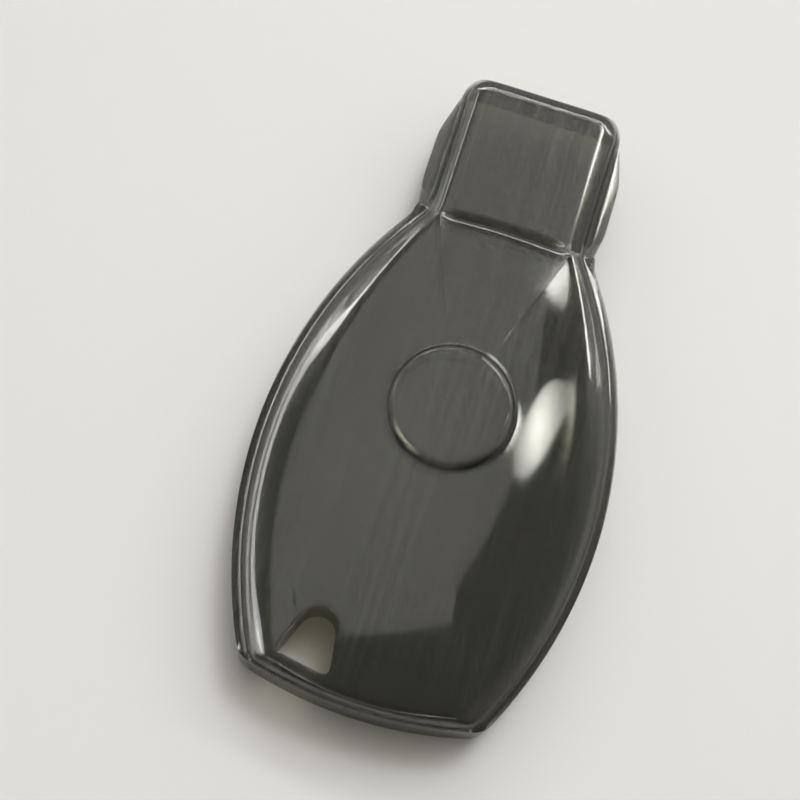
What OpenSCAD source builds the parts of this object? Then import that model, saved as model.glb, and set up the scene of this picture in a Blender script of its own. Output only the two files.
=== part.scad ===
// Nest of identical half covers for a car key fob, moulded in thin smoke-tinted plastic.
// Each cover is a shallow oval shell with a flat rim, a raised rectangular head, side tabs,
// a round boss and a D-shaped key ring slot. A cover drops over the one below it.
// X runs across, Y runs from the tail to the head, Z is up. The lowest rim lies on Z = 0.

/* [Nest] */
// Wall thickness, measured straight up
wall = 0.95; // [0.8:0.05:1.1]
// Air between one cover and the next, measured straight up
nest_gap = 0.25; // [0.15:0.05:0.4]

/* [Rim] */
// Length of a cover over the tail and the head
cover_length = 86; // [84:0.5:96]
// Width of the body over the rim
body_width = 45.4; // [43:0.2:50]
// Distance from the tail to the widest place of the body
widest_place = 30.6; // [28:0.2:33]
// Radius of the long curves at the sides of the rim
side_radius = 60.2; // [56:0.2:66]
// Radius of the curve at the tail end of the rim
tail_radius = 55; // [50:1:90]
// Rounding of the two tail corners
tail_corner = 2.8; // [1.5:0.1:4]
// Distance from the tail to the end of the body at the neck
body_length = 65.8; // [64:0.1:67]
// Ledge between the rim and the wall along the sides
side_ledge = 1.2; // [0.8:0.1:1.8]
// Ledge between the rim and the wall at the tail
tail_ledge = 0.5; // [0.4:0.1:0.8]

/* [Body face] */
// Width of the face between the side folds
face_width = 35.5; // [33:0.1:38]
// Radius of the side folds
face_radius = 68.2; // [64:0.2:75]
// Distance from the tail of the rim to the tail fold
tail_fold = 1.5; // [1.3:0.1:2.2]
// Rounding of the two tail corners of the face
face_corner = 1.6; // [0.8:0.1:2.5]
// Height of the side and tail folds
fold_height = 3; // [2.6:0.1:3.2]
// Height of the face in the middle
crown_height = 4.3; // [4:0.1:5]
// Diameter of the round boss at its foot
boss_width = 16.2; // [12:0.2:20]
// Width of the sloping edge of the boss
boss_slope = 0.7; // [0.5:0.1:1.2]
// Height of the boss over the crown
boss_height = 0.7; // [0.4:0.1:0.9]
// Distance from the tail to the centre of the boss
boss_place = 39.5; // [36:0.5:42]

/* [Head] */
// Width of the head face
head_width = 17.3; // [16:0.1:18]
// Width of the head at the foot of its walls
head_foot_width = 20.9; // [20:0.1:21.4]
// Rim beyond the foot of the head walls
head_ledge = 0.5; // [0.3:0.1:0.8]
// Slope of the far wall of the head, measured along the cover
head_end_slope = 1.6; // [1.2:0.1:2.4]
// Height of the head face
head_height = 3.5; // [3.2:0.1:3.7]
// Rounding of the far corners of the head face
head_face_corner = 1.3; // [0.6:0.1:2]
// Rounding of the far corners of the head rim
head_rim_corner = 3; // [2:0.1:4]
// Distance from the tail to the groove at the neck
groove_place = 65; // [64:0.1:66]
// Width of the groove
groove_width = 1.2; // [0.8:0.1:1.6]
// Depth of the groove
groove_depth = 0.45; // [0.2:0.05:0.6]

/* [Side tabs] */
// Width of the head over the two side tabs
tab_width = 25.2; // [23:0.2:27]
// Length of the straight edge of a tab
tab_straight = 8.6; // [6:0.2:9.4]
// Length of the slanted lead-in of a tab
tab_lead = 6.2; // [4:0.2:6.6]
// Distance from the neck end of the body to the blunt end of a tab
tab_gap = 1.2; // [0.8:0.1:2]
// Length of the blunt end of a tab
tab_end = 1; // [0.6:0.1:1.5]

/* [Ears] */
// Width over the two ears at the neck end of the body rim
ear_width = 24.8; // [24:0.1:25.2]
// Length of the straight edge of an ear
ear_length = 1.4; // [1:0.1:1.8]
// Rounding of the free corner of an ear
ear_corner = 0.5; // [0.2:0.1:0.7]

/* [Key ring slot] */
// Width of the slot
slot_width = 7.4; // [6.4:0.1:8]
// Length of the slot
slot_length = 8; // [7:0.1:8.4]
// Distance from the middle line to the near edge of the slot
slot_from_middle = 4.3; // [4:0.1:5]
// Distance from the tail to the near edge of the slot
slot_from_tail = 2.7; // [2.4:0.1:3.5]
// Rounding of the arched end of the slot
slot_arch = 2.2; // [1.8:0.1:2.4]
// Rounding of the two corners of the slot near the tail
slot_corner = 0.8; // [0.4:0.1:1.2]

/* [Hidden] */

smoke = [0.33, 0.34, 0.30];
// Thickness of the flat plates that the sloping blocks are stretched between
sliver = 0.02;
// How far a cut runs past the face that it leaves
overrun = 1;
// Steps along each side curve, each corner and each half of a tail curve
side_steps = 22;
corner_steps = 5;
tail_steps = 5;
smooth = 96;

pitch = wall + nest_gap;
tail_y = -cover_length / 2;
head_y = cover_length / 2;
widest_y = tail_y + widest_place;
neck_y = tail_y + body_length;
boss_y = tail_y + boss_place;
groove_y = tail_y + groove_place;

// The head face starts inside the body face, so that the two merge
head_start = groove_y - head_width / 4;
head_rim_width = head_foot_width + 2 * head_ledge;
head_foot_end = head_y - head_ledge;
head_face_end = head_foot_end - head_end_slope;
body_end = groove_y - groove_width / 2;
// Rings of the crowned face, as shares of the way out from the boss to the folds
crown_shares = [1, 0.8, 0.6, 0.4, 0.2];

// Point where two circles cross, on the right of the line from the first centre to the second
function crossing(a, ra, b, rb) =
    let (d = norm(b - a), along = (d * d + ra * ra - rb * rb) / (2 * d), u = (b - a) / d)
    a + along * u + sqrt(ra * ra - along * along) * [-u[1], u[0]];

function direction(v) = atan2(v[1], v[0]);

// Points along an arc, from the one numbered first
function arc_points(centre, radius, from, to, steps, first = 0) =
    [for (i = [first:steps]) let (a = from + (to - from) * i / steps) centre + radius * [cos(a), sin(a)]];

// Right half of the body outline, from the neck down the side and round the corner to the tail
function body_half(width, side_r, tail, tail_r, corner, neck) =
    let (
        side_c = [width / 2 - side_r, widest_y],
        tail_c = [0, tail + tail_r],
        corner_c = crossing(tail_c, tail_r - corner, side_c, side_r - corner),
        side_end = direction(corner_c - side_c),
        tail_start = direction(corner_c - tail_c)
    )
    concat(
        arc_points(side_c, side_r, asin((neck - widest_y) / side_r), side_end, side_steps),
        arc_points(corner_c, corner, side_end, tail_start, corner_steps, 1),
        arc_points(tail_c, tail_r, tail_start, -90, tail_steps, 1)
    );

// Whole outline from its right half, down the left side and up the right
function mirrored(half) = concat(
    [for (p = half) [-p[0], p[1]]],
    [for (i = [len(half) - 2:-1:0]) half[i]]
);

function unit(v) = v / norm(v);

// Corner at q between its neighbours, rounded by a radius
function round_corner(before, q, after, radius) =
    let (
        u = unit(before - q),
        v = unit(after - q),
        half = acos(u * v) / 2,
        centre = q + unit(u + v) * radius / sin(half),
        start = direction(q + u * radius / tan(half) - centre),
        turn = direction(q + v * radius / tan(half) - centre) - start,
        sweep = turn > 180 ? turn - 360 : turn < -180 ? turn + 360 : turn
    )
    arc_points(centre, radius, start, start + sweep, corner_steps);

// Outline with each corner of a polygon rounded by its own radius, or left sharp where that is zero
function rounded(points, radii) = [
    for (i = [0:len(points) - 1])
        let (before = points[(i + len(points) - 1) % len(points)], after = points[(i + 1) % len(points)])
        each radii[i] > 0 ? round_corner(before, points[i], after, radii[i]) : [points[i]]
];

module body_rim() {
    polygon(mirrored(body_half(body_width, side_radius, tail_y, tail_radius, tail_corner, neck_y)));
}

body_foot = mirrored(body_half(
    body_width - 2 * side_ledge, side_radius - side_ledge, tail_y + tail_ledge,
    tail_radius, tail_corner, body_end
));

body_face = mirrored(body_half(
    face_width, face_radius, tail_y + tail_fold, tail_radius, face_corner, body_end
));

// The side folds climb from the widest place to the height of the head at the neck
function fold_z(y) =
    fold_height + (head_height - fold_height) * pow(max(0, y - widest_y) / (body_end - widest_y), 2);

// Ring of the face at a share of the way out, lower towards the folds
function crown_ring(share) = [
    for (p = body_face)
        [
            p[0] * share,
            boss_y + (p[1] - boss_y) * share,
            crown_height - (crown_height - fold_z(p[1])) * share * share
        ]
];

module head_outline(width, end, corner) {
    polygon(rounded(
        [[width / 2, head_start], [width / 2, end], [-width / 2, end], [-width / 2, head_start]],
        [0, corner, corner, 0]
    ));
}

// Both side tabs, each with a slanted lead-in, a straight edge and a blunt end
module tab_outline() {
    root = head_rim_width / 2;
    out = tab_width / 2;
    end_y = neck_y + tab_gap;
    low_y = end_y + tab_end;
    high_y = low_y + tab_straight;
    lead_y = high_y + tab_lead;
    right = [[root, end_y], [out, low_y], [out, high_y], [root, lead_y]];
    polygon(concat(right, [for (i = [len(right) - 1:-1:0]) [-right[i][0], right[i][1]]]));
}

// Both ears, where the body rim ends short of the tabs
module ear_outline() {
    root = head_rim_width / 2;
    out = ear_width / 2;
    low_y = neck_y - ear_length;
    right = [[root, low_y - ear_length], [out, low_y], [out, neck_y], [root, neck_y]];
    left = [for (i = [len(right) - 1:-1:0]) [-right[i][0], right[i][1]]];
    polygon(rounded(concat(right, left), [0, 0, ear_corner, 0, 0, ear_corner, 0, 0]));
}

module plate(height) {
    translate([0, 0, height - sliver])
        linear_extrude(sliver)
            children();
}

// Flat rim of a cover with its side tabs and ears
module rim() {
    linear_extrude(wall) {
        body_rim();
        head_outline(head_rim_width, head_y, head_rim_corner);
        tab_outline();
        ear_outline();
    }
}

// Solid between stacked rings of the same number of points, closed by a point at each end
module loft(bottom, rings, top) {
    n = len(rings[0]);
    last = 1 + n * len(rings);
    points = concat([bottom], [for (ring = rings) each ring], [top]);
    walls = [
        for (r = [0:len(rings) - 2], i = [0:n - 1])
            let (a = 1 + r * n + i, b = 1 + r * n + (i + 1) % n)
            each [[a, a + n, b], [b, a + n, b + n]]
    ];
    ends = [
        for (i = [0:n - 1])
            let (j = (i + 1) % n)
            each [[0, 1 + i, 1 + j], [last, last - n + j, last - n + i]]
    ];
    polyhedron(points = points, faces = concat(walls, ends));
}

function at_height(outline, z) = [for (p = outline) [p[0], p[1], z]];

// Body above its ledge, sloping up to the folds and crowned in the middle
module body_block(skirt) {
    loft(
        [0, boss_y, wall - skirt],
        concat(
            [at_height(body_foot, wall - skirt), at_height(body_foot, wall)],
            [for (share = crown_shares) crown_ring(share)]
        ),
        [0, boss_y, crown_height]
    );
}

// Head above its ledge, with a flat face
module head_block(skirt) {
    hull() {
        plate(wall - skirt) head_outline(head_foot_width, head_foot_end, head_rim_corner);
        plate(wall) head_outline(head_foot_width, head_foot_end, head_rim_corner);
        plate(head_height) head_outline(head_width, head_face_end, head_face_corner);
    }
}

module boss() {
    translate([0, boss_y, crown_height - wall / 2])
        cylinder(d = boss_width, h = wall / 2, $fn = smooth);
    translate([0, boss_y, crown_height])
        cylinder(d1 = boss_width, d2 = boss_width - 2 * boss_slope, h = boss_height, $fn = smooth);
}

// Groove across the neck, a V seen from the side
module groove() {
    translate([-head_width, groove_y, head_height])
        rotate([90, 0, 90])
            linear_extrude(2 * head_width)
                polygon([
                    [-groove_width / 2, 0], [-groove_width / 2, overrun],
                    [groove_width / 2, overrun], [groove_width / 2, 0], [0, -groove_depth]
                ]);
}

// Everything that stands up from the flat rim, reaching down by the skirt
module raised(skirt) {
    difference() {
        union() {
            body_block(skirt);
            head_block(skirt);
            boss();
        }
        groove();
    }
}

// D-shaped slot at the left of the tail, arched towards the head
module slot() {
    near_x = -slot_from_middle;
    far_x = near_x - slot_width;
    low_y = tail_y + slot_from_tail;
    high_y = low_y + slot_length;
    slant_share = 0.15;
    far_top_share = 0.38;
    near_top_share = 0.15;
    dip_share = 0.04;
    translate([0, 0, -overrun])
        linear_extrude(crown_height + 2 * overrun)
            polygon(rounded(
                [
                    [near_x, low_y],
                    [near_x - slot_width * near_top_share, high_y - slot_length * dip_share],
                    [far_x + slot_width * far_top_share, high_y],
                    [far_x, low_y + slot_length * slant_share]
                ],
                [slot_corner, slot_arch, slot_arch, slot_corner]
            ));
}

// The wall is even straight up, so covers stacked straight up stay the nest gap apart
module cover(number) {
    color(smoke)
        translate([0, 0, (number - 1) * pitch])
            difference() {
                union() {
                    rim();
                    raised(wall / 2);
                }
                translate([0, 0, -wall]) raised(overrun);
                slot();
            }
}

cover(1);  // cover_1
cover(2);  // cover_2
cover(3);  // cover_3
cover(4);  // cover_4
cover(5);  // cover_5
cover(6);  // cover_6
cover(7);  // cover_7
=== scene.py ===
import math

import bmesh
import bpy
from mathutils import Matrix, Vector
from mathutils.bvhtree import BVHTree


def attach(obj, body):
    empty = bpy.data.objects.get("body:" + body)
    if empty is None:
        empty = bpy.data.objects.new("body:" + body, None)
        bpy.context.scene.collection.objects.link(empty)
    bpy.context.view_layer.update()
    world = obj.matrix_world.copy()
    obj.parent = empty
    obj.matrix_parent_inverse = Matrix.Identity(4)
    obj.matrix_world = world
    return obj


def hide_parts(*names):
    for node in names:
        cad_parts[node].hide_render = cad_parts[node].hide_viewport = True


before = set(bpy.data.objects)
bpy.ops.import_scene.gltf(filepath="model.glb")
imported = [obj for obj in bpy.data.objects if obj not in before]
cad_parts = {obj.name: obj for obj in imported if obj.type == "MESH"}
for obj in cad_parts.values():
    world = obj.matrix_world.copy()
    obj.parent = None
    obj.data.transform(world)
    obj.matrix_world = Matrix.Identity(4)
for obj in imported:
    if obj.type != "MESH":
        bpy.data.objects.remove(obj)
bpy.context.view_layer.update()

# ---------------------------------------------------------------- camera
# The photograph was taken from above the tail, leaning a little towards the
# head, so that the nest fills the frame from corner to corner.
mm = 0.001
lens_length = 77.04
sensor_width = 36
camera_place = (-2.13 * mm, -67.06 * mm, 216.37 * mm)
camera_tilt = (16.444, -4.001, 17.201)

camera_data = bpy.data.cameras.new("camera")
camera_data.lens = lens_length
camera_data.sensor_width = sensor_width
camera_data.clip_start = 10 * mm
camera = bpy.data.objects.new("camera", camera_data)
camera.location = camera_place
camera.rotation_euler = [math.radians(angle) for angle in camera_tilt]
bpy.context.scene.collection.objects.link(camera)
bpy.context.scene.camera = camera
bpy.context.scene.view_settings.view_transform = "Standard"

# ---------------------------------------------------------------- floor
# A sheet of pale, warm grey card that the nest lies on. It is wide enough to
# fill the view from low angles, and lies a hair below the lowest rim.
floor_size = 3.0
floor_gap = 0.05 * mm
card_colour = (0.86, 0.85, 0.825, 1)
card_roughness = 0.9
card_shine = 0.2

floor_mesh = bpy.data.meshes.new("floor")
floor_bm = bmesh.new()
bmesh.ops.create_grid(floor_bm, x_segments=4, y_segments=4, size=floor_size / 2)
bmesh.ops.translate(floor_bm, verts=floor_bm.verts, vec=(0, 0, -floor_gap))
floor_bm.to_mesh(floor_mesh)
floor_bm.free()
floor = bpy.data.objects.new("floor", floor_mesh)
bpy.context.scene.collection.objects.link(floor)

card = bpy.data.materials.new("pale_card")
card.use_nodes = True
card_shader = card.node_tree.nodes["Principled BSDF"]
card_shader.inputs["Base Color"].default_value = card_colour
card_shader.inputs["Roughness"].default_value = card_roughness
card_shader.inputs["Specular IOR Level"].default_value = card_shine
floor_mesh.materials.append(card)

# ---------------------------------------------------------------- light
# The soft lamps of a small studio, in a pale room that is dark overhead and on
# the camera's side. Glossy plastic shows the lamps as much as it is lit by them.
lamp_colour = (1, 0.99, 0.97)
room_colour = (1, 0.99, 0.97, 1)
watts_for_one = 4
nest_middle = (0, 0, 0)


def panel(name, shape, place, size, brightness, aim=nest_middle, spread=180):
    """A soft lamp, as bright as stated where it is seen straight on; a narrow
    spread fades its mirror image towards the edges."""
    data = bpy.data.lights.new(name, "AREA")
    data.shape = shape
    data.size, data.size_y = size
    data.spread = math.radians(spread)
    data.energy = brightness * watts_for_one * size[0] * size[1]
    if shape == "ELLIPSE":
        data.energy *= math.pi / 4
    if spread < 180:
        half = math.radians(spread / 2)
        data.energy *= (math.tan(half) - half) / math.tan(half)
    data.color = lamp_colour
    lamp = bpy.data.objects.new(name, data)
    lamp.location = place
    away = Vector(place) - Vector(aim)
    lamp.rotation_euler = away.to_track_quat("Z", "Y").to_euler()
    lamp.visible_camera = False
    bpy.context.scene.collection.objects.link(lamp)
    return lamp


# The broad dim sheen on the faces
panel("overhead", "ELLIPSE", place=(-0.086, 0.235, 0.8), size=(0.58, 0.5),
      brightness=0.5, spread=90)

# A long low window beyond the head, which draws the thin bright lines along
# the edges that face it
panel("window", "RECTANGLE", place=(0.2, 1.55, 1.5), size=(3.2, 0.18), brightness=10)

# The bright patches beside the boss and at the right end of the neck
panel("lamp_side", "ELLIPSE", place=(0.22, 0.265, 0.8), size=(0.07, 0.12),
      brightness=8.5, aim=(0.013, -0.004, 0.012), spread=8)
panel("lamp_neck", "RECTANGLE", place=(0.15, 0.465, 0.8), size=(0.17, 0.13),
      brightness=15, aim=(0.006, 0.02, 0.012), spread=14)

# The lamp that throws the soft shadow under the tail, and shows in nothing
key = panel("key", "RECTANGLE", place=(0.35, 1.0, 1.7), size=(0.7, 0.5), brightness=9)
key.visible_glossy = key.visible_transmission = False

# Two narrow strips for the bright lines along the left side and the tail,
# which leave the floor as it is
strip_size = (2.6, 0.16)
for strip in (
    panel("strip_left", "RECTANGLE", (-1.55, 0.2, 1.4), strip_size, brightness=6),
    panel("strip_tail", "RECTANGLE", (-0.2, -1.55, 1.3), strip_size, brightness=5),
):
    strip.visible_diffuse = False


def ranged(tree, value, low, high, to_low, to_high):
    """Carries a value from one range over to another, and stops at its ends."""
    node = tree.nodes.new("ShaderNodeMapRange")
    limits = {"From Min": low, "From Max": high, "To Min": to_low, "To Max": to_high}
    for socket, number in limits.items():
        node.inputs[socket].default_value = number
    tree.links.new(value, node.inputs["Value"])
    return node.outputs["Result"]


def worked_out(tree, operation, *values):
    """The result of one sum on values of a material or of the room."""
    node = tree.nodes.new("ShaderNodeMath")
    node.operation = operation
    for value, socket in zip(values, node.inputs):
        tree.links.new(value, socket)
    return node.outputs["Value"]


def split_up(tree, vector):
    """The X, Y and Z of a vector, each as an output of its own."""
    node = tree.nodes.new("ShaderNodeSeparateXYZ")
    tree.links.new(vector, node.inputs["Vector"])
    return node.outputs


# The room: how far up the ceiling starts and how far back the camera's side,
# each followed by the brightness before and after
walls_to_ceiling = (0.5, 0.75, 0.8, 0.22)
camera_side_to_far_side = (-0.55, 0.1, 0.1, 1)
room = bpy.data.worlds.new("room")
room.use_nodes = True
around = room.node_tree.nodes.new("ShaderNodeTexCoord")
direction = split_up(room.node_tree, around.outputs["Generated"])
room_strength = worked_out(
    room.node_tree, "MULTIPLY",
    ranged(room.node_tree, direction["Z"], *walls_to_ceiling),
    ranged(room.node_tree, direction["Y"], *camera_side_to_far_side),
)
room_light = room.node_tree.nodes["Background"]
room.node_tree.links.new(room_strength, room_light.inputs["Strength"])
room_light.inputs["Color"].default_value = room_colour
bpy.context.scene.world = room

# ---------------------------------------------------------------- covers
# Seven identical half covers lie nested, each injection moulded in one piece
# from clear acrylic with a smoke tint, and nothing but their weight holds them.
covers = 7
wall = 0.95 * mm
pitch = 1.2 * mm
tail_y = -43 * mm
head_y = 43 * mm
widest_y = -12.4 * mm
neck_y = 22.8 * mm
shoulder_y = 21.4 * mm
fold_height = 3 * mm
face_height = 3.5 * mm
crown_height = 4.3 * mm
boss_centre = Vector((0, -3.5 * mm, 0))
boss_height = 0.7 * mm
boss_foot = 8.1 * mm
boss_top = 7.4 * mm
tail_radius = 55 * mm
weld = 0.002 * mm

# Three outlines make a cover: the flat rim, the foot of the side walls, which
# stands a little above the rim so that the rim leans outwards, and the fold
# where the side walls meet the faces
rim_line = dict(
    z=wall, head_half=10.95 * mm, head_end=head_y, head_corner=3 * mm,
    body_half=22.7 * mm, radius=60.2 * mm, tail=tail_y, corner=2.8 * mm,
    fillet=0, ear=12.4 * mm,
)
foot_line = dict(
    z=wall + 0.3 * mm, head_half=10.45 * mm, head_end=42.5 * mm, head_corner=3 * mm,
    body_half=21.5 * mm, radius=59 * mm, tail=-42.5 * mm, corner=2.8 * mm,
    fillet=2.5 * mm,
)
fold_line = dict(
    z=wall, head_half=8.65 * mm, head_end=40.9 * mm, head_corner=1.3 * mm,
    body_half=17.75 * mm, radius=68.2 * mm, tail=-41.5 * mm, corner=1.6 * mm,
    fillet=2.5 * mm,
)
ear_corner = 0.5 * mm

# Width that each fold is rounded over
foot_rounding = 0.25 * mm
fold_rounding = 0.4 * mm
boss_foot_rounding = 0.2 * mm
boss_top_rounding = 0.25 * mm

# Steps along each stretch of an outline, the same on the rim, foot and fold
end_steps = 5
corner_steps = 4
neck_steps = 4
body_steps = 36
tail_corner_steps = 4
tail_steps = 10

# The side tab: where its corners come along the head, from the far end down
tab_places = [39.8, 38.25, 36.7, 35.15, 33.6, 31.45, 29.3, 27.15, 25, 24.5, 24]
tab_places = [y * mm for y in tab_places]
tab_low, tab_high = tab_places[8], tab_places[4]
tab_reach = 1.65 * mm
side_top = 40 * mm
below_tab = 23.4 * mm
side_shares = [(side_top - y) / (side_top - neck_y)
               for y in tab_places + [below_tab, neck_y]]

# The side walls, which leave the fold gently and grow steeper towards the foot
side_rows = (0.96, 0.89, 0.8, 0.65, 0.4)
gentle_slope = 0.47
most_gentle = 0.7
steep_power = 8

# The groove across the neck, in rows that each end on the fold
groove_depth = 0.45 * mm
groove_bow = 0.45 * mm
groove_depths = (0, 0.45, 0.85, 1, 0)
groove_power = 8
groove_steps = 10

# Rings of the head face, each with its share of the one outside it, and rings
# of the crown, with how it is smoothed
head_centre = Vector((0, 31.5 * mm, face_height))
head_rings = (0.94, 0.82 / 0.94, 0.5 / 0.82, 0.5, 0)
crown_rings = 11
crown_passes = 10
crown_easing = 0.5

# The low dome of the boss: how far its rings lie out, and below its middle
boss_lip = 0.06 * mm
boss_dome = ((6.6, 0.04), (5, 0.02), (2.5, 0.005))


def go_to(bm, chain, x, y, steps=1):
    """Carries the chain of vertices on in a straight line."""
    start = chain[-1].co.copy()
    for i in range(1, steps + 1):
        new = bmesh.ops.extrude_vert_indiv(bm, verts=[chain[-1]])["verts"][0]
        new.co = start.lerp(Vector((x, y, start.z)), i / steps)
        chain.append(new)


def verts_in(geom):
    return [g for g in geom if isinstance(g, bmesh.types.BMVert)]


def turn_round(bm, chain, centre, turn, steps):
    """Carries the chain on along an arc round a centre."""
    for _ in range(steps):
        spun = bmesh.ops.spin(
            bm, geom=[chain[-1]], cent=(centre[0], centre[1], chain[-1].co.z),
            axis=(0, 0, 1), angle=turn / steps, steps=1,
        )["geom_last"]
        chain.append(verts_in(spun)[0])


def crossing(a, ra, b, rb):
    """Where two circles cross, on the right of the line from a to b."""
    d = (b - a).length
    along = (d * d + ra * ra - rb * rb) / (2 * d)
    u = (b - a) / d
    return a + u * along + math.sqrt(ra * ra - along * along) * Vector((-u.y, u.x))


def heading(v):
    return math.atan2(v.y, v.x)


def half_outline(bm, z, head_half, head_end, head_corner, body_half, radius,
                 tail, corner, fillet, ear=0):
    """Right half of one outline of a cover, from the head's end to the tail."""
    quarter = math.pi / 2
    chain = [bmesh.ops.create_vert(bm, co=(0, head_end, z))["vert"][0]]
    go_to(bm, chain, head_half - head_corner, head_end, end_steps)
    turn_round(bm, chain, (head_half - head_corner, head_end - head_corner),
               -quarter, corner_steps)

    # Side of the head, down to where the neck turns out to the body
    side_c = Vector((body_half - radius, widest_y))
    if ear:
        side_start = math.acos((ear - side_c.x) / radius)
        low = Vector((head_half, neck_y))
    else:
        reach = head_half + fillet - side_c.x
        fillet_y = widest_y + math.sqrt((radius + fillet) ** 2 - reach ** 2)
        fillet_c = Vector((head_half + fillet, fillet_y))
        side_start = heading(fillet_c - side_c)
        low = Vector((head_half, fillet_c.y))
    top_y = head_end - head_corner
    for share in side_shares:
        go_to(bm, chain, head_half, top_y + (low.y - top_y) * share)
    if ear:
        go_to(bm, chain, ear - ear_corner, neck_y)
        turn_round(bm, chain, (ear - ear_corner, neck_y - ear_corner),
                   -quarter, neck_steps - 2)
        go_to(bm, chain, ear, widest_y + radius * math.sin(side_start))
    else:
        turn_round(bm, chain, fillet_c, side_start, neck_steps)

    # Side of the body, corner of the tail, and the tail's end
    tail_c = Vector((0, tail + tail_radius))
    corner_c = crossing(tail_c, tail_radius - corner, side_c, radius - corner)
    side_end = heading(corner_c - side_c)
    tail_start = heading(corner_c - tail_c)
    turn_round(bm, chain, side_c, side_end - side_start, body_steps)
    turn_round(bm, chain, corner_c, tail_start - side_end, tail_corner_steps)
    turn_round(bm, chain, tail_c, -quarter - tail_start, tail_steps)
    return chain


def edges_of(bm, chain):
    return [bm.edges.get((a, b)) for a, b in zip(chain, chain[1:])]


def fold_z(y):
    """Height of the side folds, which climb from the widest place to the neck."""
    climb = max(0, y - widest_y) / (shoulder_y - widest_y)
    rise = (face_height - fold_height) * climb ** 2
    return min(face_height, fold_height + rise)


def next_ring(bm, edges, place):
    """Extrudes a chain of edges and puts each new vertex where place says."""
    new = verts_in(bmesh.ops.extrude_edge_only(bm, edges=edges)["geom"])
    for v in new:
        v.co = place(v)
    ring = set(new)
    near = dict.fromkeys(e for v in new for e in v.link_edges)
    return [e for e in near if e.verts[0] in ring and e.verts[1] in ring]


def cover_half(bm):
    """Top surface of the right half of a cover."""
    reach = bm.verts.layers.float.new("reach")
    height = bm.verts.layers.float.new("height")
    step = bm.verts.layers.int.new("step")
    crown = bm.verts.layers.int.new("crown")
    rounding = bm.edges.layers.float.new("rounding")
    rim = half_outline(bm, **rim_line)
    foot = half_outline(bm, **foot_line)
    fold = half_outline(bm, **fold_line)
    for v in fold:
        v.co.z = fold_z(v.co.y)
    rim_edges, foot_edges, fold_edges = (edges_of(bm, c) for c in (rim, foot, fold))
    bmesh.ops.bridge_loops(bm, edges=rim_edges + foot_edges)

    # Rounded side between foot and fold
    spans = [(low.co.copy(), high.co.copy()) for low, high in zip(foot, fold)]
    for i, v in enumerate(foot):
        v[step] = i

    def side_row(away):
        def place(v):
            low, high = spans[v[step]]
            width, rise = (high - low).xy.length, high.z - low.z
            gentle = min(most_gentle, gentle_slope * width / rise)
            at = high.lerp(low, away)
            drop = gentle * away + (1 - gentle) * away ** steep_power
            at.z = high.z - rise * drop
            return at
        return place
    edges = foot_edges
    for away in side_rows:
        edges = next_ring(bm, edges, side_row(away))
    bmesh.ops.bridge_loops(bm, edges=edges + fold_edges)

    # Side tab, drawn out of the straight side of the rim
    def tab_out(v):
        share = min(1, (tab_places[0] - v.co.y) / (tab_places[0] - tab_high),
                    (v.co.y - tab_places[-1]) / (tab_low - tab_places[-1]))
        x = rim_line["head_half"] + tab_reach * max(0, share)
        return Vector((x, v.co.y, v.co.z))
    first = end_steps + corner_steps + 1
    next_ring(bm, rim_edges[first:first + len(tab_places) - 1], tab_out)

    # Groove across the neck
    neck_first = end_steps + corner_steps + len(side_shares)
    ends = fold[neck_first:neck_first + neck_steps + 1]

    def groove_row(old, end, depth):
        def place(v):
            share = v.co.x / old.co.x
            y = end.co.y + groove_bow * (1 - share ** 2)
            z = face_height - groove_depth * depth * (1 - share ** groove_power)
            return Vector((share * end.co.x, y, z))
        return place
    row = [ends[0]]
    go_to(bm, row, 0, ends[0].co.y, groove_steps)
    edges = head_line = edges_of(bm, row)
    for v in row[1:]:
        v.co = groove_row(ends[0], ends[0], 0)(v)
    for old, end, depth in zip(ends, ends[1:], groove_depths[1:]):
        edges = next_ring(bm, edges, groove_row(old, end, depth))
    body_line = edges

    # Head face, flat, in rings towards its middle
    edges = fold_edges[:neck_first] + head_line
    for share in head_rings:
        edges = next_ring(bm, edges, lambda v: head_centre.lerp(v.co, share))

    # Body face, crowned, in rings that grow round until they meet the boss
    edges = body_line + fold_edges[neck_first + neck_steps:]
    for e in edges:
        for v in e.verts:
            v[reach] = (v.co.xy - boss_centre.xy).length
            v[height] = v.co.z

    def from_boss(v, distance, z):
        away = (v.co.xy - boss_centre.xy).normalized()
        return Vector((away.x * distance, boss_centre.y + away.y * distance, z))

    def crowned(t):
        def place(v):
            distance = v[reach] + (boss_foot - v[reach]) * t
            drop = (crown_height - v[height]) * (distance / v[reach]) ** 2
            return from_boss(v, distance, crown_height - drop)
        return place
    for i in range(1, crown_rings + 1):
        edges = next_ring(bm, edges, crowned(i / crown_rings))
        for e in edges:
            for v in e.verts:
                v[crown] = i < crown_rings
    boss_foot_edges = edges

    # Boss, a low round disc with a sloping edge
    top_z = crown_height + boss_height
    edges = next_ring(bm, edges, lambda v: from_boss(v, boss_top, top_z - boss_lip))
    boss_top_edges = edges
    for radius, drop in boss_dome:
        edges = next_ring(
            bm, edges, lambda v: from_boss(v, radius * mm, top_z - drop * mm))
    boss_middle = Vector((0, boss_centre.y, top_z))
    next_ring(bm, edges, lambda v: boss_middle)

    for line, width in (
        (foot_edges, foot_rounding), (fold_edges, fold_rounding),
        (boss_foot_edges, boss_foot_rounding), (boss_top_edges, boss_top_rounding),
    ):
        for e in line:
            e[rounding] = width


def ease(bm, edges, width, segments=2):
    """Rounds edges off."""
    bmesh.ops.bevel(bm, geom=edges, offset=width, segments=segments,
                    profile=0.5, affect="EDGES", material=-1, clamp_overlap=True)


def face_up(bm):
    """Turns an open surface so that its faces look up and out."""
    bmesh.ops.recalc_face_normals(bm, faces=bm.faces)
    if sum(f.normal.z for f in bm.faces) < 0:
        bmesh.ops.reverse_faces(bm, faces=bm.faces)


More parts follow.
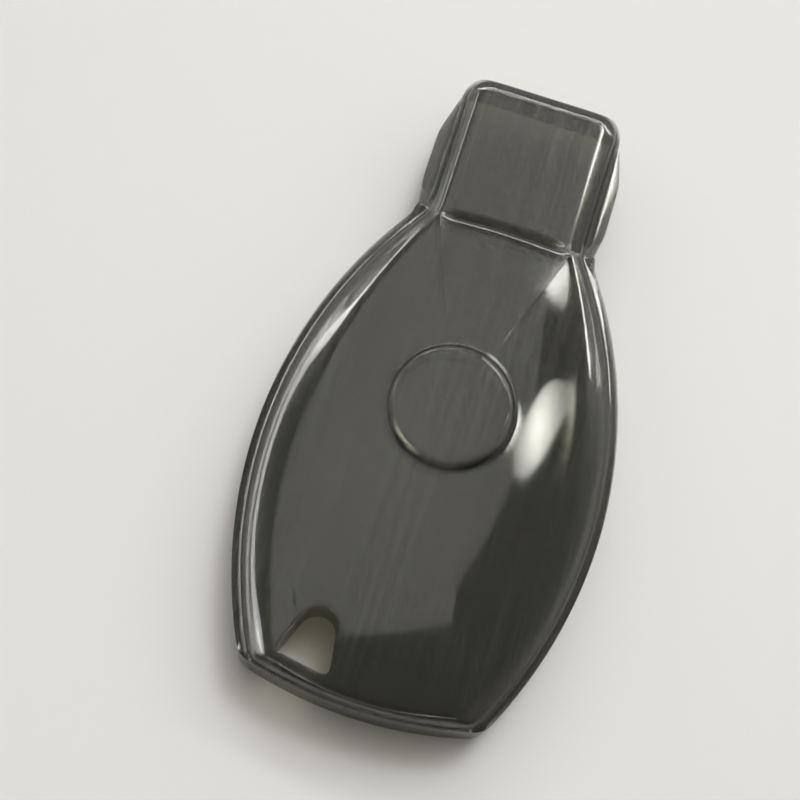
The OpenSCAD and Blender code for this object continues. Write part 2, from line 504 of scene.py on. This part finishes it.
# The key ring slot, a D whose straight side faces the tail, left of the middle:
# its corners, how far they are rounded, and the part of the face it is set in
slot_corners = [(-4.3, -40.3), (-5.41, -32.62), (-8.89, -32.3), (-11.7, -39.1)]
slot_tail_rounding = 1.05 * mm
slot_arch_rounding = 1.65 * mm
slot_cuts = 4
slot_shortest = 2 * mm
slot_left, slot_right, slot_top = -13.4 * mm, -3.2 * mm, -31.2 * mm
slot_middle = Vector((-7.5 * mm, -36 * mm))
slot_reach = 6 * mm
flat_enough = 0.985
well_above = 20 * mm

# Roundings of the cut edges, of the slot and of the rim
sharp_angle = math.radians(60)
slot_easing = 0.22 * mm
rim_easing = 0.44 * mm
rim_easing_steps = 4


def slot_through(bm):
    """Opens the slot: faces out, and a ring from their border in to the D."""
    surface = BVHTree.FromBMesh(bm)

    def in_patch(f):
        middle = f.calc_center_median()
        return (f.normal.z > flat_enough and middle.z > fold_height
                and slot_left < middle.x < slot_right and middle.y < slot_top)
    patch = [f for f in bm.faces if in_patch(f)]
    border = [e for e in dict.fromkeys(e for f in patch for e in f.edges)
              if sum(g in patch for g in e.link_faces) == 1]
    bmesh.ops.delete(bm, geom=patch, context="FACES")
    border = [e for e in border if e.is_valid]
    d_verts = [bm.verts.new((x * mm, y * mm, 0)) for x, y in slot_corners]
    bm.faces.new(d_verts)
    for corners, width, segments in (
        ([d_verts[0], d_verts[3]], slot_tail_rounding, 3),
        ([d_verts[1], d_verts[2]], slot_arch_rounding, 5),
    ):
        bmesh.ops.bevel(bm, geom=corners, offset=width, segments=segments,
                        profile=0.5, affect="VERTICES", material=-1)

    def d_face():
        return [f for f in bm.faces if all(v.co.z == 0 for v in f.verts)][0]
    long = [e for e in d_face().edges if e.calc_length() > slot_shortest]
    bmesh.ops.subdivide_edges(bm, edges=long, cuts=slot_cuts)
    blank = d_face()
    d_edges = list(blank.edges)
    for v in blank.verts:
        above = Vector((v.co.x, v.co.y, well_above))
        v.co = surface.ray_cast(above, Vector((0, 0, -1)))[0]
    bmesh.ops.delete(bm, geom=[blank], context="FACES_ONLY")
    bmesh.ops.bridge_loops(bm, edges=border + d_edges)
    face_up(bm)


def cover_mesh():
    """A whole cover, standing on its rim at the origin."""
    bm = bmesh.new()
    cover_half(bm)
    bmesh.ops.remove_doubles(bm, verts=bm.verts, dist=weld)
    rounding = bm.edges.layers.float["rounding"]
    folds = [(e, e[rounding]) for e in bm.edges if e[rounding] > 0]
    for width in sorted({w for e, w in folds}):
        ease(bm, [e for e, w in folds if w == width and e.is_valid], width)
    bmesh.ops.remove_doubles(bm, verts=bm.verts, dist=weld)
    bmesh.ops.mirror(bm, geom=bm.verts[:] + bm.edges[:] + bm.faces[:],
                     matrix=Matrix(), merge_dist=weld, axis="X")
    bmesh.ops.remove_doubles(bm, verts=bm.verts, dist=weld)
    bmesh.ops.recalc_face_normals(bm, faces=bm.faces)

    # The rings leave faint corners in the crown, which are smoothed away in
    # height alone, so that the outlines stay
    crown = bm.verts.layers.int["crown"]
    for _ in range(crown_passes):
        bmesh.ops.smooth_vert(bm, verts=[v for v in bm.verts if v[crown]],
                              factor=crown_easing, use_axis_z=True)
    bm.normal_update()
    face_up(bm)
    slot_through(bm)

    # Thickness, straight down, then the small roundings of the cut edges
    down = bmesh.ops.extrude_face_region(bm, geom=bm.faces[:], use_keep_orig=True)
    bmesh.ops.translate(bm, verts=verts_in(down["geom"]), vec=(0, 0, -wall))
    bmesh.ops.recalc_face_normals(bm, faces=bm.faces)
    bm.normal_update()
    sharp = [e for e in bm.edges
             if len(e.link_faces) == 2 and e.calc_face_angle() > sharp_angle]
    slot = [e for e in sharp if (e.verts[0].co.xy - slot_middle).length < slot_reach]
    rim = [e for e in sharp if e not in slot]
    ease(bm, slot, slot_easing)
    ease(bm, [e for e in rim if e.is_valid], rim_easing, rim_easing_steps)
    mesh = bpy.data.meshes.new("cover")
    bm.to_mesh(mesh)
    bm.free()
    mesh.shade_smooth()
    return mesh


# The plastic: clear acrylic whose tint deepens with every cover below
acrylic_ior = 1.49
smoke_tint = (0.31, 0.31, 0.25, 1)
smoke_density = 430
level_colour = (0.98, 0.98, 0.965, 1)
# The near-black colour of steep surfaces is painted shade on the side walls and outlines
steep_painted_shade = (0.02, 0.02, 0.016, 1)
let_through = (0.995, 0.992, 0.977, 1)
haze_roughness = 0.2
line_depth = 0.015 * mm
wave_depth = 0.01 * mm

# Noise cells to the metre, across, along and up a cover
line_cells = (14000, 150, 150)
streak_cells = (3600, 45, 45)
wave_cells = (90, 60, 90)

# What a value runs from and to, and what it is made to run from and to
# How upright a surface must be before the painted shade gives way to the plain tint
painted_shade_fade = (0.3, 0.9, 0, 1)
haze_in_streaks = (0.45, 0.75, 0.02, 0.27)
haze_where_level = (0.15, 0.6, 0, 1)
roughness_in_waves = (0.3, 0.7, 0.02, 0.06)

smoke = bpy.data.materials.new("smoke_acrylic")
smoke.use_nodes = True
smoke_tree = smoke.node_tree
smoke_nodes, smoke_links = smoke_tree.nodes, smoke_tree.links
smoke_shader = smoke_nodes["Principled BSDF"]
smoke_out = smoke_nodes["Material Output"]
smoke_shader.inputs["IOR"].default_value = acrylic_ior
smoke_shader.inputs["Transmission Weight"].default_value = 1
smoke_shader.inputs["Coat Roughness"].default_value = haze_roughness
tint = smoke_nodes.new("ShaderNodeVolumeAbsorption")
tint.inputs["Color"].default_value = smoke_tint
tint.inputs["Density"].default_value = smoke_density
smoke_links.new(tint.outputs["Volume"], smoke_out.inputs["Volume"])
where = smoke_nodes.new("ShaderNodeTexCoord")


def texture(stretch, detail):
    """Noise over the cover; stretch gives its cells to the metre."""
    mapping = smoke_nodes.new("ShaderNodeMapping")
    mapping.inputs["Scale"].default_value = stretch
    smoke_links.new(where.outputs["Object"], mapping.inputs["Vector"])
    noise = smoke_nodes.new("ShaderNodeTexNoise")
    noise.inputs["Scale"].default_value = 1
    noise.inputs["Detail"].default_value = detail
    smoke_links.new(mapping.outputs["Vector"], noise.inputs["Vector"])
    return noise.outputs["Fac"]


def bumped(value, depth):
    node = smoke_nodes.new("ShaderNodeBump")
    node.inputs["Distance"].default_value = depth
    smoke_links.new(value, node.inputs["Height"])
    return node.outputs["Normal"]


# Painted shade: steep surfaces get a near-black base colour, blended in by how upright
# the surface is, which darkens the side walls and the outlines of the nest. The Mix
# node's sockets for colour are its inputs 6 and 7 and its output 2.
upright = split_up(smoke_tree, where.outputs["Normal"])["Z"]
level = worked_out(smoke_tree, "ABSOLUTE", upright)
painted_shade_by_slope = smoke_nodes.new("ShaderNodeMix")
painted_shade_by_slope.data_type = "RGBA"
painted_shade_by_slope.inputs[6].default_value = steep_painted_shade
painted_shade_by_slope.inputs[7].default_value = level_colour
smoke_links.new(ranged(smoke_tree, level, *painted_shade_fade), painted_shade_by_slope.inputs["Factor"])
smoke_links.new(painted_shade_by_slope.outputs[2], smoke_shader.inputs["Base Color"])

# Handling leaves fine lines along the cover, which smear the highlights
# across it, and a patchy haze; the moulded faces are not perfectly flat
lines = texture(line_cells, detail=1)
streaks = texture(streak_cells, detail=2)
waves = texture(wave_cells, detail=1)
haze = worked_out(
    smoke_tree, "MULTIPLY",
    ranged(smoke_tree, streaks, *haze_in_streaks),
    ranged(smoke_tree, level, *haze_where_level),
)
smoke_links.new(haze, smoke_shader.inputs["Coat Weight"])
smoke_links.new(bumped(lines, line_depth), smoke_shader.inputs["Coat Normal"])
smoke_links.new(bumped(waves, wave_depth), smoke_shader.inputs["Normal"])
smoke_links.new(ranged(smoke_tree, waves, *roughness_in_waves),
                smoke_shader.inputs["Roughness"])

# Lamps and the light that the floor throws back go straight through a cover,
# weakened by its tint, so the floor under the nest is lit evenly
passing = smoke_nodes.new("ShaderNodeBsdfTransparent")
passing.inputs["Color"].default_value = let_through
ray = smoke_nodes.new("ShaderNodeLightPath")
straight = worked_out(smoke_tree, "MAXIMUM",
                      ray.outputs["Is Shadow Ray"], ray.outputs["Is Diffuse Ray"])
either = smoke_nodes.new("ShaderNodeMixShader")
smoke_links.new(straight, either.inputs["Fac"])
smoke_links.new(smoke_shader.outputs["BSDF"], either.inputs[1])
smoke_links.new(passing.outputs["BSDF"], either.inputs[2])
smoke_links.new(either.outputs["Shader"], smoke_out.inputs["Surface"])

# The nest, one cover a pitch above the other
base_mesh = cover_mesh()
for number in range(1, covers + 1):
    name = f"cover_{number}"
    mesh = base_mesh.copy()
    mesh.transform(Matrix.Translation((0, 0, (number - 1) * pitch)))
    mesh.materials.append(smoke)
    cover = bpy.data.objects.new(f"smoke_{name}", mesh)
    bpy.context.scene.collection.objects.link(cover)
    smoothing = cover.modifiers.new("smoothing", "SUBSURF")
    smoothing.levels = smoothing.render_levels = 1
    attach(cover, name)
    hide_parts(name)
bpy.data.meshes.remove(base_mesh)

# ---------------------------------------------------------------- light through the nest
# Light crosses fourteen surfaces of the nest on its way down and again on its
# way up, so the paths are allowed to be long enough for that.
longest_path = 24
paths = bpy.context.scene.cycles
paths.max_bounces = longest_path
paths.transmission_bounces = longest_path
paths.transparent_max_bounces = longest_path
